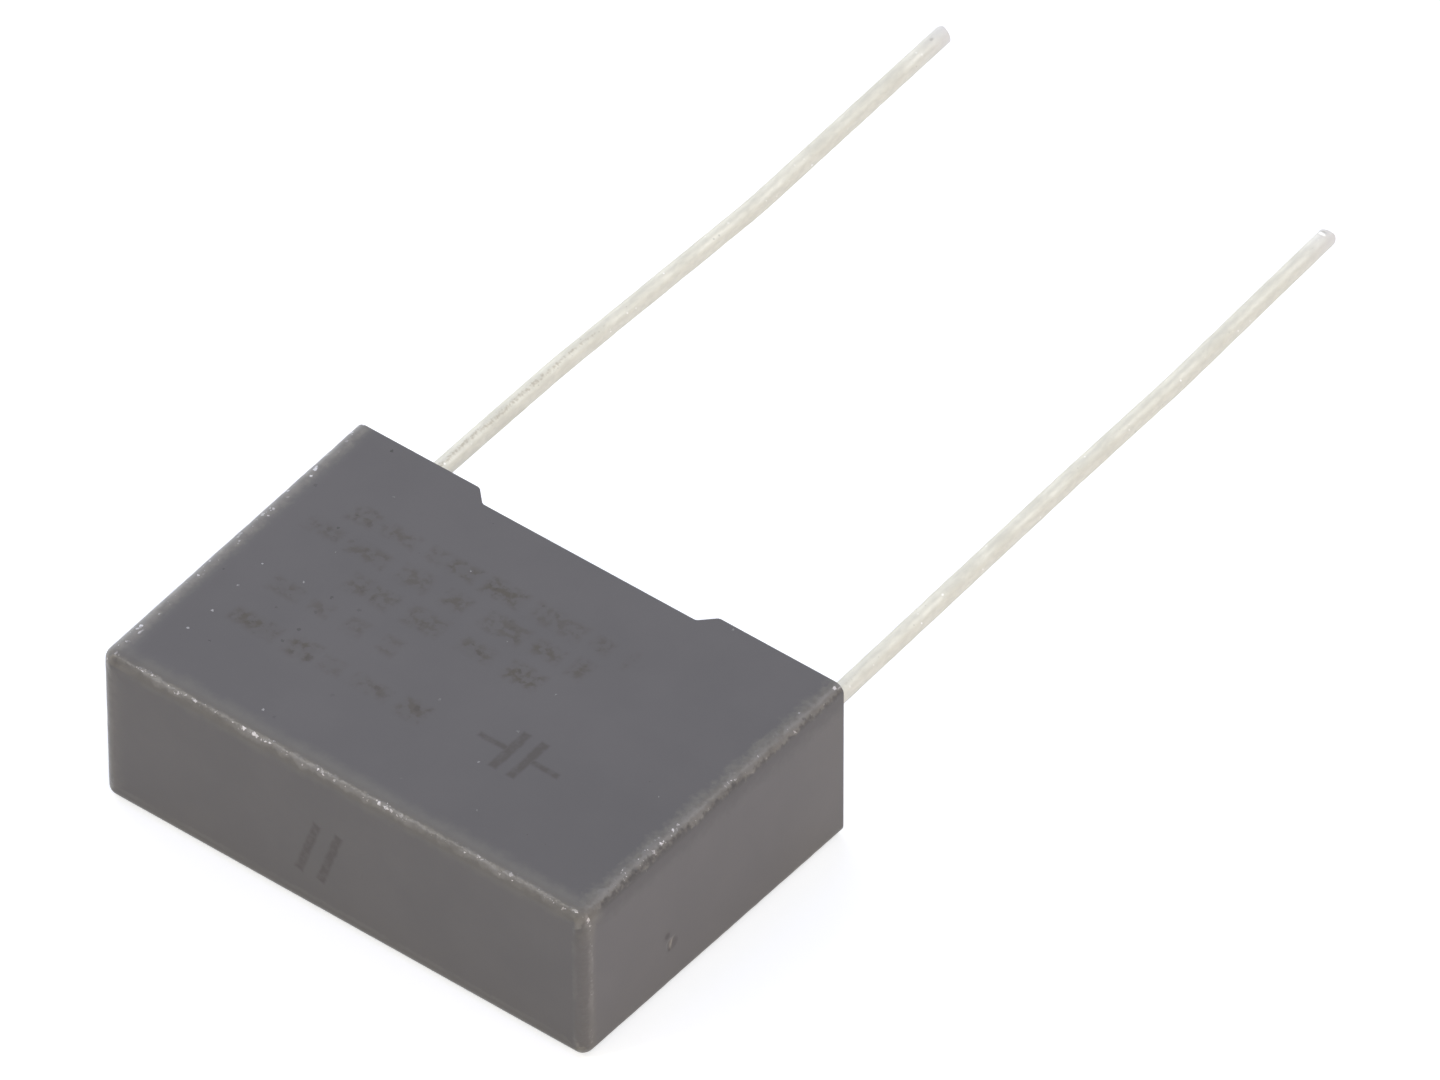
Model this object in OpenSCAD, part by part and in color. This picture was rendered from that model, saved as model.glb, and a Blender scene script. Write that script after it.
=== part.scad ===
// Box-type film capacitor with two long radial leads, lying on one of its large sides.
// X runs along the lead pitch, +Y is the way the leads point, +Z is up.
// The origin is in the middle of the large side that it lies on. Millimetres and degrees.

/* [Case] */
// Distance between the two leads where they leave the case
lead_pitch = 15; // [10:0.5:27.5]
// From the middle of a lead to the end of the case
end_overhang = 1.5; // [1.4:0.1:3]
// From the closed side to the feet
case_height = 12; // [9:0.5:30]
// Across the two large sides, at the feet
case_thickness = 6; // [5:0.5:18]
// Thickness of every wall
wall = 0.6; // [0.4:0.05:0.8]
// Slope of every wall, which narrows the case towards the closed side
draft = 0.4; // [0:0.1:1]
// Rounding of the outside edges round the closed side
edge_radius = 0.4; // [0.2:0.05:0.6]
// Rounding of the four long edges where they reach the rim
rim_edge_radius = 0.34; // [0.2:0.01:0.6]
// Rounding of the edges inside the case
inner_radius = 0.2; // [0.1:0.05:0.4]

/* [Feet] */
// Depth of the relief between the feet
relief_depth = 0.48; // [0.2:0.02:0.8]
// Length of the relief's level floor
relief_length = 7.9; // [4:0.1:9]
// Slope of the relief's two ends
relief_slope = 45; // [30:5:75]
// Softening of the relief's corners
relief_softness = 0.2; // [0.05:0.05:0.25]

/* [Gate mark] */
// Radius of the shallow gate mark on the right end of the case
gate_radius = 0.25; // [0.15:0.05:0.5]
// Depth of the gate mark
gate_depth = 0.07; // [0.03:0.01:0.15]
// From the closed side to the gate mark
gate_height = 4; // [2:0.1:7]
// From the middle of the case down to the gate mark
gate_drop = 1.2; // [0:0.1:1.6]
// Length of the torn stub that stands in the gate mark
stub_length = 0.3; // [0.15:0.05:0.4]
// Width of the torn stub
stub_width = 0.1; // [0.05:0.01:0.14]
// Height of the torn stub over the floor of the gate mark
stub_height = 0.05; // [0.02:0.01:0.06]

/* [Resin] */
// From the floor of the relief down to the resin, along the middle of the case
resin_recess = 0.4; // [0.2:0.05:1]
// Rise of the resin surface where it meets the long walls
meniscus_rise = 0.15; // [0.05:0.05:0.2]
// Height to which the resin climbs each lead
collar_height = 0.2; // [0.1:0.05:0.3]
// Angle between a lead and the resin that climbs it
collar_angle = 20; // [10:5:30]
// Resin between the winding and the nearer large side
side_cover = 0.12; // [0.05:0.01:0.5]
// Resin between the winding and the closed side
closed_cover = 0.4; // [0.1:0.1:1]
// Resin over the winding on the lead side
lead_cover = 1; // [0.5:0.1:2]

/* [Leads] */
// Diameter of the wire
lead_diameter = 0.6; // [0.5:0.1:0.8]
// Free length of a lead, past the feet
lead_length = 26; // [6:0.1:28]
// Height of the leads and the winding over the middle of the case
lead_offset = 0.4; // [0:0.1:0.6]
// Thickness of the sprayed metal on each end of the winding
spray_thickness = 0.4; // [0.2:0.05:0.6]
// Depth to which a wire is sunk in the sprayed metal
weld_depth = 0.1; // [0.05:0.05:0.15]
// From the middle of the winding to the inner end of a wire
root_past_middle = 1; // [0:0.1:1.5]
// Radius of the slight bends along a lead
bend_radius = 20; // [10:1:30]
// Slope of the two flats that the cutter leaves on a lead's tip
tip_angle = 15; // [0:5:50]

/* [Hidden] */
$fn = 48;

// Facets of the rounded edges of the case
edge_fn = 32;
// Facets of the wide round that dishes the resin
dish_fn = 180;
// Overshoot of cuts past the faces that they open
cut_over = 1;

case_length = lead_pitch + 2 * end_overhang;
feet_y = case_height / 2;
closed_y = -feet_y;
resin_y = feet_y - relief_depth - resin_recess;
floor_y = closed_y + wall;

// Half the length and half the thickness of the case at a distance y along the leads
function half_length(y) = case_length / 2 - (feet_y - y) * tan(draft);
function half_thickness(y) = case_thickness / 2 - (feet_y - y) * tan(draft);

// The winding fills the case up to its resin covers, with its middle at the height of the leads
winding_low_y = floor_y + closed_cover;
winding_high_y = resin_y - lead_cover;
winding_y = (winding_low_y + winding_high_y) / 2;
winding_height = winding_high_y - winding_low_y;
winding_thickness = 2 * (half_thickness(floor_y) - wall - side_cover - lead_offset);
winding_length = lead_pitch - lead_diameter + 2 * weld_depth - 2 * spray_thickness;

// Each wire starts on the sprayed metal, and its bends are [share of the free length, turn towards +X]
root_y = winding_y - root_past_middle;
left_bends = [[0.283, 2], [0.637, -3.2]];
right_bends = [[0, -0.95], [0.506, 0.65], [0.698, -1.6]];
// Turn of the ridge across each lead's cut tip
left_ridge_angle = -100;
right_ridge_angle = -35;

plastic = [0.42, 0.41, 0.42];
resin = [0.36, 0.36, 0.37];
film = [0.78, 0.76, 0.72];
zinc = [0.62, 0.63, 0.65];
tin = [0.85, 0.84, 0.8];

// Lays the part on its lower large side
module lay_down() {
    rotate([draft, 0, 0])
        translate([0, 0, half_thickness(0)])
            children();
}

// A ball with points on its poles and on its equator
module corner_ball(radius) {
    rotate_extrude($fn = edge_fn)
        intersection() {
            circle(radius, $fn = edge_fn);
            translate([0, -radius])
                square([radius, 2 * radius]);
        }
}

// Balls in the four long edges, at a distance y along the leads
module edge_balls(inset, radius, y) {
    for (x_side = [-1, 1], z_side = [-1, 1])
        translate([
            x_side * (half_length(y) - inset - radius),
            y,
            z_side * (half_thickness(y) - inset - radius)
        ])
            rotate([90, 0, 0])
                corner_ball(radius);
}

// A drafted block inside the outline of the case, closed at low_y and running on past the feet,
// with long edges whose rounding changes evenly from the closed side to the rim
module drafted_block(inset, low_radius, rim_radius, low_y) {
    start_y = low_y + low_radius;
    end_y = feet_y + cut_over;
    end_radius = low_radius + (rim_radius - low_radius) * (end_y - start_y) / (feet_y - start_y);
    hull() {
        edge_balls(inset, low_radius, start_y);
        edge_balls(inset, end_radius, end_y);
    }
}

module cavity() {
    drafted_block(wall, inner_radius, inner_radius, floor_y);
}

// What lies past the rim: level over the feet and dipping into the relief between them
module rim_profile() {
    ramp = relief_depth / tan(relief_slope);
    offset(r = relief_softness, $fn = edge_fn)
        offset(r = -2 * relief_softness, $fn = edge_fn)
            offset(r = relief_softness, $fn = edge_fn)
                polygon([
                    [-case_length, feet_y],
                    [-relief_length / 2 - ramp, feet_y],
                    [-relief_length / 2, feet_y - relief_depth],
                    [relief_length / 2, feet_y - relief_depth],
                    [relief_length / 2 + ramp, feet_y],
                    [case_length, feet_y],
                    [case_length, feet_y + case_height],
                    [-case_length, feet_y + case_height]
                ]);
}

// A shallow spherical mark in the right end of the case, round the torn stub of the gate
module gate_mark() {
    y = closed_y + gate_height;
    ball_radius = (gate_radius ^ 2 + gate_depth ^ 2) / (2 * gate_depth);
    translate([half_length(y) - gate_depth, y, -gate_drop])
        difference() {
            translate([ball_radius, 0, 0])
                sphere(ball_radius);
            gate_stub();
        }
}

// The stub, a flat with round ends that stands along the end of the case
module gate_stub() {
    reach = (stub_length - stub_width) / 2;
    translate([stub_height, 0, 0])
        rotate([0, -90, 0])
            linear_extrude(2 * stub_height) {
                square([2 * reach, stub_width], center = true);
                for (side = [-1, 1])
                    translate([side * reach, 0])
                        circle(d = stub_width);
            }
}

module case() {
    color(plastic)
        lay_down()
            difference() {
                drafted_block(0, edge_radius, rim_edge_radius, closed_y);
                cavity();
                linear_extrude(2 * case_thickness, center = true)
                    rim_profile();
                gate_mark();
            }
}

// The flattened section of the winding, run along X from the middle
module flattened_roll(length) {
    round_radius = winding_thickness / 2;
    reach = winding_height / 2 - round_radius;
    translate([-length / 2, winding_y, lead_offset])
        rotate([0, 90, 0])
            linear_extrude(length)
                union() {
                    square([winding_thickness, 2 * reach], center = true);
                    for (side = [-1, 1])
                        translate([0, side * reach])
                            circle(round_radius);
                }
}

module winding_with_sprays() {
    flattened_roll(winding_length + 2 * spray_thickness);
}

// One straight stretch of wire along +Y
module wire_run(length) {
    rotate([-90, 0, 0])
        cylinder(d = lead_diameter, h = length);
}

function arc_length(turn) = bend_radius * abs(turn) * PI / 180;
function all_but_first(list) = [for (i = [1 : 1 : len(list) - 1]) list[i]];

// One bend in the wire, with its children carried on from the end of it
module wire_bend(turn) {
    side = sign(turn);
    mirror([side > 0 ? 1 : 0, 0, 0])
        translate([-bend_radius, 0, 0])
            rotate_extrude(angle = abs(turn))
                translate([bend_radius, 0])
                    circle(d = lead_diameter);
    translate([side * bend_radius * (1 - cos(turn)), bend_radius * sin(abs(turn)), 0])
        rotate([0, 0, -turn])
            children();
}

// The cutter's two flats, which meet in a ridge across the tip
module cut_tip(ridge) {
    block = 2 * lead_diameter;
    for (turn = [ridge, ridge + 180])
        rotate([0, turn, 0])
            rotate([tip_angle, 0, 0])
                translate([-block / 2, 0, -block / 2])
                    cube(block);
}

// Wire from its root to its tip: straight runs between the bends, then the cut tip
module bent_wire(bends, length, ridge, done = 0) {
    if (len(bends) > 0) {
        turn = bends[0][1];
        run = bends[0][0] - arc_length(turn) / 2 - done;
        wire_run(run);
        translate([0, run, 0])
            wire_bend(turn)
                bent_wire(all_but_first(bends), length, ridge, done + run + arc_length(turn));
    } else {
        difference() {
            wire_run(length - done);
            translate([0, length - done, 0])
                cut_tip(ridge);
        }
    }
}

module lead(side, bends, ridge) {
    inside = feet_y - root_y;
    translate([side * lead_pitch / 2, root_y, lead_offset])
        bent_wire(
            [for (bend = bends) [inside + bend[0] * lead_length, bend[1]]],
            inside + lead_length,
            ridge
        );
}

// A straight wire in place of each lead's buried stretch
module buried_wire(side) {
    translate([side * lead_pitch / 2, root_y, lead_offset])
        wire_run(feet_y - root_y);
}

// The resin that climbs a lead, with a hollow round between its surface and the wire
module resin_collar(side) {
    round_radius = collar_height / (cos(collar_angle) - sin(collar_angle));
    round_off = round_radius * cos(collar_angle);
    translate([side * lead_pitch / 2, resin_y, lead_offset])
        rotate([-90, 0, 0])
            rotate_extrude()
                difference() {
                    translate([0, -collar_height])
                        square([lead_diameter / 2 + collar_height, 3 * collar_height]);
                    translate([lead_diameter / 2 + round_off, round_off])
                        circle(round_radius);
                }
}

// The space over the resin, dished by its rise at the long walls and pierced by the two collars
module resin_dish() {
    half_width = half_thickness(resin_y) - wall;
    dish_radius = (half_width ^ 2 + meniscus_rise ^ 2) / (2 * meniscus_rise);
    difference() {
        translate([0, resin_y + dish_radius, 0])
            rotate([0, 90, 0])
                cylinder(r = dish_radius, h = 2 * case_length, center = true, $fn = dish_fn);
        for (side = [-1, 1])
            resin_collar(side);
    }
}

module potting_resin() {
    color(resin)
        lay_down()
            difference() {
                cavity();
                resin_dish();
                winding_with_sprays();
                for (side = [-1, 1])
                    buried_wire(side);
            }
}

module film_winding() {
    color(film)
        lay_down()
            flattened_roll(winding_length);
}

// The sprayed metal on one end of the winding, grooved by the wire that is welded to it
module end_spray(side) {
    color(zinc)
        lay_down()
            difference() {
                translate([side * (winding_length + spray_thickness) / 2, 0, 0])
                    flattened_roll(spray_thickness);
                buried_wire(side);
            }
}

module left_end_spray() {
    end_spray(-1);
}

module right_end_spray() {
    end_spray(1);
}

module left_lead() {
    color(tin)
        lay_down()
            lead(-1, left_bends, left_ridge_angle);
}

module right_lead() {
    color(tin)
        lay_down()
            lead(1, right_bends, right_ridge_angle);
}

case();
potting_resin();
film_winding();
left_end_spray();
right_end_spray();
left_lead();
right_lead();
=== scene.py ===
import math
import random
from types import SimpleNamespace

import bmesh
import bpy
import numpy as np
from mathutils import Matrix, Vector, noise


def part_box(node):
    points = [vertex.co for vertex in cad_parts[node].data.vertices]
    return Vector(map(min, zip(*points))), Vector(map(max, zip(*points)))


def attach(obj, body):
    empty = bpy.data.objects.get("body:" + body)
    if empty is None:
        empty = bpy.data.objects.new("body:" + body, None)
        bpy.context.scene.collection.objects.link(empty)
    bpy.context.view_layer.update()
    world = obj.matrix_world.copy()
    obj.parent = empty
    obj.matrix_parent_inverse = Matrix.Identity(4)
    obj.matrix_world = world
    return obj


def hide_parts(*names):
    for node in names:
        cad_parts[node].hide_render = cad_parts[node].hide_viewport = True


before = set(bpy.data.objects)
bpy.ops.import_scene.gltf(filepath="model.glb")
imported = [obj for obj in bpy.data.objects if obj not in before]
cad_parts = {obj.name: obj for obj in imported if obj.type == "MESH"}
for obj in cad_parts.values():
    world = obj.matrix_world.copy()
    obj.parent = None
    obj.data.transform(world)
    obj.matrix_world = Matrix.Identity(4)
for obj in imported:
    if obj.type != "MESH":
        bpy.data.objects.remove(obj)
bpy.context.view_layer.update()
caseLow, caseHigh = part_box("case")
mm = 0.001
print("frame loaded with", len(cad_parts), "nodes")

scene = bpy.context.scene
scene.view_settings.view_transform = "Standard"

# the case as moulded, in its own axes: X from lead to lead, Y along the leads, Z across
case = {
    "length": caseHigh.x - caseLow.x,
    "thickness": caseHigh.z - caseLow.z,
    "height": 12.0 * mm,
    "draft": math.radians(0.4),
    "wall": 0.6 * mm,
    "edgeRadius": 0.4 * mm,  # at the closed end
    "rimRadius": 0.34 * mm,  # of the four long edges where they reach the rim
    "innerRadius": 0.2 * mm,
    "rimSoftness": 0.035 * mm,
    "reliefDepth": 0.48 * mm,
    "reliefLength": 7.9 * mm,
    "reliefSlope": math.radians(45),
    "reliefSoftness": 0.2 * mm,
    "gatePlace": (-2.0 * mm, -1.2 * mm),  # along the leads, then across, on the right end
    "gateRadius": 0.25 * mm,
    "gateDepth": 0.07 * mm,
    "stubSize": (0.05 * mm, 0.15 * mm),  # the torn stub left in the gate mark
    "stubHeight": 0.06 * mm,
    "stubLean": 0.25,
    "dentDepth": 0.008 * mm,  # knocks along the rounded edges
    "dentLength": 0.33 * mm,
    "dentFrom": 0.05,  # share of the full depth at which they set in
    "endZone": 0.3 * mm,  # depth of what counts as an end's face
    "sharpAngle": 40,
}
feetY = case["height"] / 2
closedY = -feetY
halfLength = case["length"] / 2
halfThickness = case["thickness"] / 2
gateY, gateZ = case["gatePlace"]
slope = math.tan(case["draft"])
middleHalf = halfThickness - feetY * slope
layDown = Matrix.Rotation(case["draft"], 4, "X") @ Matrix.Translation((0, 0, middleHalf))
far = 3 * mm  # a way that no edge's wear reaches
tiny = 1e-9


def laid(points):
    turn = np.array(layDown)
    return np.asarray(points) @ turn[:3, :3].T + turn[:3, 3]


def makeObject(name, points, faces, sharpAngle):
    mesh = bpy.data.meshes.new(name)
    mesh.from_pydata([tuple(p) for p in points], [], faces)
    net = bmesh.new()
    net.from_mesh(mesh)
    bmesh.ops.recalc_face_normals(net, faces=net.faces)
    net.to_mesh(mesh)
    net.free()
    mesh.shade_smooth()
    mesh.set_sharp_from_angle(angle=math.radians(sharpAngle))
    piece = bpy.data.objects.new(name, mesh)
    scene.collection.objects.link(piece)
    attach(piece, "root")
    return piece


def joinDoubles(piece, apart=1e-7):
    net = bmesh.new()
    net.from_mesh(piece.data)
    bmesh.ops.remove_doubles(net, verts=net.verts, dist=apart)
    net.to_mesh(piece.data)
    net.free()


def giveWeights(piece, name, values):
    store = piece.data.attributes.new(name, "FLOAT", "POINT")
    store.data.foreach_set("value", np.asarray(values, np.float32))


# quads between rings that have as many points each
def ringFaces(rings, count):
    faces = []
    for r in range(rings - 1):
        for c in range(count):
            d = (c + 1) % count
            faces.append((r * count + c, (r + 1) * count + c, (r + 1) * count + d, r * count + d))
    return faces


def spread(low, high, step):
    count = max(1, round(abs(high - low) / step))
    return [low + (high - low) * i / count for i in range(count + 1)]


def quarterTurn(steps):
    return [math.pi / 2 * i / steps for i in range(steps + 1)]


# depth of the rim's relief at a distance x from the middle, with softened corners
def reliefAt(x):
    depth, soft, angle = case["reliefDepth"], case["reliefSoftness"], case["reliefSlope"]
    reach = soft * math.tan(angle / 2)
    footX = case["reliefLength"] / 2
    topX = footX + depth / math.tan(angle)
    x = abs(x)
    if x <= footX - reach:
        return depth
    if x <= footX + reach * math.cos(angle):
        return depth - soft + math.sqrt(max(soft**2 - (x - footX + reach) ** 2, 0))
    if x <= topX - reach * math.cos(angle):
        return depth - (x - footX) * math.tan(angle)
    if x < topX + reach:
        return soft - math.sqrt(max(soft**2 - (topX + reach - x) ** 2, 0))
    return 0.0


# steps of the case's mesh, close together where the form or the print is fine
spacing = {
    "ramps": (3.7 * mm, 4.7 * mm),  # the stretch from the middle that holds an end of the relief
    "straightX": 8.0 * mm,  # how far each side keeps its own steps
    "straightZ": 2.0 * mm,
    "printed": 0.09 * mm,  # along the printed side and down the walls
    "printedRamp": 0.04 * mm,
    "under": 0.4 * mm,
    "underRamp": 0.05 * mm,
    "leftEnd": 0.3 * mm,
    "rightEnd": 0.15 * mm,
    "gateSpan": 0.5 * mm,  # how far the fine steps reach from the middle of the gate mark
    "gateAcross": 0.04 * mm,
    "gateAlong": 0.05 * mm,
    "endShares": (0.0, 0.25, 0.5, 0.75),  # steps from a rounded edge to a side's own steps
    "faceInsets": [d * mm for d in (0.55, 0.42, 0.3, 0.2, 0.12, 0.06)],  # rings on the closed face
    "insideShares": (0.97, 0.94, 0.9, 0.8, 0.5, 0.1),  # rings down the inside
    "arcSteps": 12,  # round an outside edge
    "softSteps": 4,  # round the rim's edges and the inside edge
}
gateSpan = spacing["gateSpan"]


def bothWays(step, rampStep):
    rampFrom, rampTo = spacing["ramps"]
    half = spread(0, rampFrom, step)[1:]
    half += spread(rampFrom, rampTo, rampStep)[1:]
    half += spread(rampTo, spacing["straightX"], step)[1:]
    return [-x for x in reversed(half)] + [0.0] + half


straightZ = spacing["straightZ"]
topX = bothWays(spacing["printed"], spacing["printedRamp"])
bottomX = bothWays(spacing["under"], spacing["underRamp"])[::-1]
rightZ = spread(straightZ, gateZ + gateSpan, spacing["rightEnd"])
rightZ += spread(gateZ + gateSpan, -straightZ, spacing["gateAcross"])[1:]
leftZ = spread(-straightZ, straightZ, spacing["leftEnd"])


# one turn round the case for a given half size, in rows of
# x, z, the way across the nearest long edge, and the end wall's share
def ringAt(halfX, halfZ, radius):
    ring = []
    innerX, innerZ = halfX - radius, halfZ - radius
    across = radius * math.pi / 2
    arcSteps = spacing["arcSteps"]

    def arc(centreX, centreZ, start, falling):
        for i in range(1, arcSteps):
            share = i / arcSteps
            a = start - share * math.pi / 2
            endShare = share if falling else 1 - share
            x, z = centreX + radius * math.cos(a), centreZ + radius * math.sin(a)
            ring.append((x, z, across * endShare, endShare))

    # the stations of one side, with more towards its two rounded ends
    def side(stations, inner):
        first, last = math.copysign(inner, stations[0]), math.copysign(inner, stations[-1])
        shares = spacing["endShares"]
        start = [first + (stations[0] - first) * s for s in shares]
        return start + stations + [last + (stations[-1] - last) * s for s in reversed(shares)]

    ring.extend((x, halfZ, -(innerX - abs(x)), 0.0) for x in side(topX, innerX))
    arc(innerX, innerZ, math.pi / 2, True)
    ring.extend((halfX, z, across + innerZ - abs(z), 1.0) for z in side(rightZ, innerZ))
    arc(innerX, -innerZ, 0.0, False)
    ring.extend((x, -halfZ, -(innerX - abs(x)), 0.0) for x in side(bottomX, innerX))
    arc(-innerX, -innerZ, -math.pi / 2, True)
    ring.extend((-halfX, z, across + innerZ - abs(z), 1.0) for z in side(leftZ, innerZ))
    arc(-innerX, innerZ, math.pi, False)
    return ring


# the wall's profile from the closed face round the rim to the floor inside, in rows of
# inset, corner radius, share of the way to the rim, step from there, and way across the closed end's edge
def wallProfile():
    radius, rimRadius, wall = case["edgeRadius"], case["rimRadius"], case["wall"]
    inner, soft = case["innerRadius"], case["rimSoftness"]
    low, high = closedY + radius, feetY
    rows = [(radius + d, 0.0, 0.0, -radius, -d) for d in spacing["faceInsets"]]
    for a in quarterTurn(spacing["arcSteps"]):
        out = radius * math.sin(a)
        rows.append((radius - out, out, 0.0, -radius * math.cos(a), radius * a))
    stations = spread(low, gateY - gateSpan, spacing["printed"])[1:]
    stations += spread(gateY - gateSpan, gateY + gateSpan, spacing["gateAlong"])[1:]
    stations += spread(gateY + gateSpan, high - soft, spacing["printed"])[1:-1]
    for y in stations:
        share = (y - low) / (high - low)
        way = radius * math.pi / 2 + y - low
        rows.append((0.0, radius + (rimRadius - radius) * share, share, 0.0, way))
    for a in quarterTurn(spacing["softSteps"]):
        inset = soft * (1 - math.cos(a))
        rows.append((inset, rimRadius - inset, 1.0, -soft * (1 - math.sin(a)), far))
    for a in quarterTurn(spacing["softSteps"]):
        inset = wall - soft * (1 - math.sin(a))
        rows.append((inset, inner + wall - inset, 1.0, -soft * (1 - math.cos(a)), far))
    rows.extend((wall, inner, share, 0.0, far) for share in spacing["insideShares"])
    for a in quarterTurn(spacing["softSteps"]):
        step = wall - radius + inner * (1 - math.sin(a))
        rows.append((wall + inner * (1 - math.cos(a)), inner * math.cos(a), 0.0, step, far))
    return rows


# where the case is rubbed, where pale sheen is painted along its edges, and where it has dark spots, some of
# them painted shade
rubAndLight = {
    "long": 0.35 * mm,  # where the rubbed line runs round the closed end: along the long walls,
    "short": 0.55 * mm,  # along the ends,
    "side": 0.20 * mm,  # and on the four long edges,
    "start": 0.15 * mm,  # where it sets in this far round the closed end
    "paleTurn": math.radians(50),  # how far round the upper left edge its pale band of painted sheen has its middle
    "paleReach": 0.36 * mm,
    "paleInner": 1 / 3,  # share of that reach down the left end
    "paleSpread": 0.7,  # how much wider the band gets towards the closed end
    "paleSpreadWay": 1.0 * mm,
    "paleTop": 0.56,  # strength of that band
    "paleEnd": 0.2,  # strength of the band down the closed end's left edge, and where it runs
    "paleEndWay": 0.3 * mm,
    "paleEndReach": 0.45 * mm,
    "cornerSpot": (-8.37, 2.68),  # a dark spot on the closed end, under its upper left corner
    "cornerRadius": 0.23,
    "cornerStrength": 0.75,
    "cornerDepth": 0.5 * mm,
    "gateSpots": ((-0.11, -0.20, 0.07), (-0.20, 0.42, 0.15)),  # painted shade beside the gate mark: along, across, radius
}


# painted sheen: pale bands painted along the upper left edge and down the closed end's left edge
def paleSheenAt(x, z, off, way, onSide, endShare):
    if x > 0:
        return 0.0
    wider = 1 + rubAndLight["paleSpread"] * math.exp(-max(way, 0) / rubAndLight["paleSpreadWay"])
    reach = rubAndLight["paleReach"] * (wider if off < 0 else rubAndLight["paleInner"])
    upper = rubAndLight["paleTop"] * math.exp(-((off / reach) ** 2)) * onSide if z > 0 else 0.0
    down = math.exp(-(((way - rubAndLight["paleEndWay"]) / rubAndLight["paleEndReach"]) ** 2)) * endShare
    return max(upper, rubAndLight["paleEnd"] * down)


def onRightEnd(x):
    return x > halfLength - case["endZone"]


# dents along the rubbed edges, and the gate mark in the right end
def knock(points, endWay, sideWay):
    across = case["edgeRadius"] * math.pi / 2
    for i, (x, y, z) in enumerate(points):
        near = max(math.sin(math.pi * min(max(w / across, 0), 1)) for w in (endWay[i], sideWay[i]))
        if near > case["dentFrom"]:
            away = np.array((x, 0, z)) / math.hypot(x, z)
            n = noise.noise(Vector((x, y, z)) / case["dentLength"])
            points[i] += away * n * near * case["dentDepth"]
        elif onRightEnd(x):
            gone = math.hypot(y - gateY, z - gateZ) / case["gateRadius"]
            if gone < 1:
                points[i][0] -= case["gateDepth"] * (1 - gone * gone)
                points[i][0] += case["stubHeight"] * stubAt(y, z)


def stubAt(y, z):
    wide, tall = case["stubSize"]
    lean = (z - gateZ) * case["stubLean"]
    return math.exp(-(((y - gateY - lean) / wide) ** 2) - ((z - gateZ) / tall) ** 2)


# dark spots, round and soft: one under the closed end's upper left corner, and painted shade beside the gate
# mark
def darkeningAt(x, y, z):
    def spot(offX, offY, radius):
        return math.exp(-(offX**2 + offY**2) / radius**2)

    if y < closedY + rubAndLight["cornerDepth"] and x < 0:
        spotX, spotZ = rubAndLight["cornerSpot"]
        return rubAndLight["cornerStrength"] * spot(x / mm - spotX, z / mm - spotZ, rubAndLight["cornerRadius"])
    if not onRightEnd(x):
        return 0.0
    offY, offZ = (y - gateY) / mm, (z - gateZ) / mm
    return max(spot(offY - a, offZ - b, radius) for a, b, radius in rubAndLight["gateSpots"])


# faint rows of plain printed bars, in millimetres: place, start and end of each row,
# with bars and gaps at random
bars = {
    "rows": [(3.0, -6.7, 3.5), (1.85, -7.5, 3.0), (0.65, -5.0, 2.0), (-0.75, -6.7, -2.0), (-2.4, -6.8, 0.2)],
    "lengths": (0.4, 1.8),
    "tones": (0.55, 1.0),
    "heights": (0.45, 0.75),
    "gaps": (0.25, 0.8),
    "softness": 0.3,
    "topShare": 0.9,  # of the half thickness, above which a point is on the top
    "seed": 7,
}


def printOn(points):
    draw = random.Random(bars["seed"])
    x, y = points[:, 0] / mm, points[:, 1] / mm
    onTop = points[:, 2] > halfThickness * bars["topShare"]
    strength = np.zeros(len(points))
    for rowY, start, end in bars["rows"]:
        at = start
        while at < end:
            length = min(draw.uniform(*bars["lengths"]), end - at)
            tone, height = draw.uniform(*bars["tones"]), draw.uniform(*bars["heights"])
            sides = np.maximum(np.abs(x - at - length / 2) - length / 2, np.abs(y - rowY) - height / 2)
            cover = np.clip(0.5 - sides / bars["softness"], 0, 1)
            strength = np.maximum(strength, cover * tone * onTop)
            at += length + draw.uniform(*bars["gaps"])
    return strength


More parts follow.
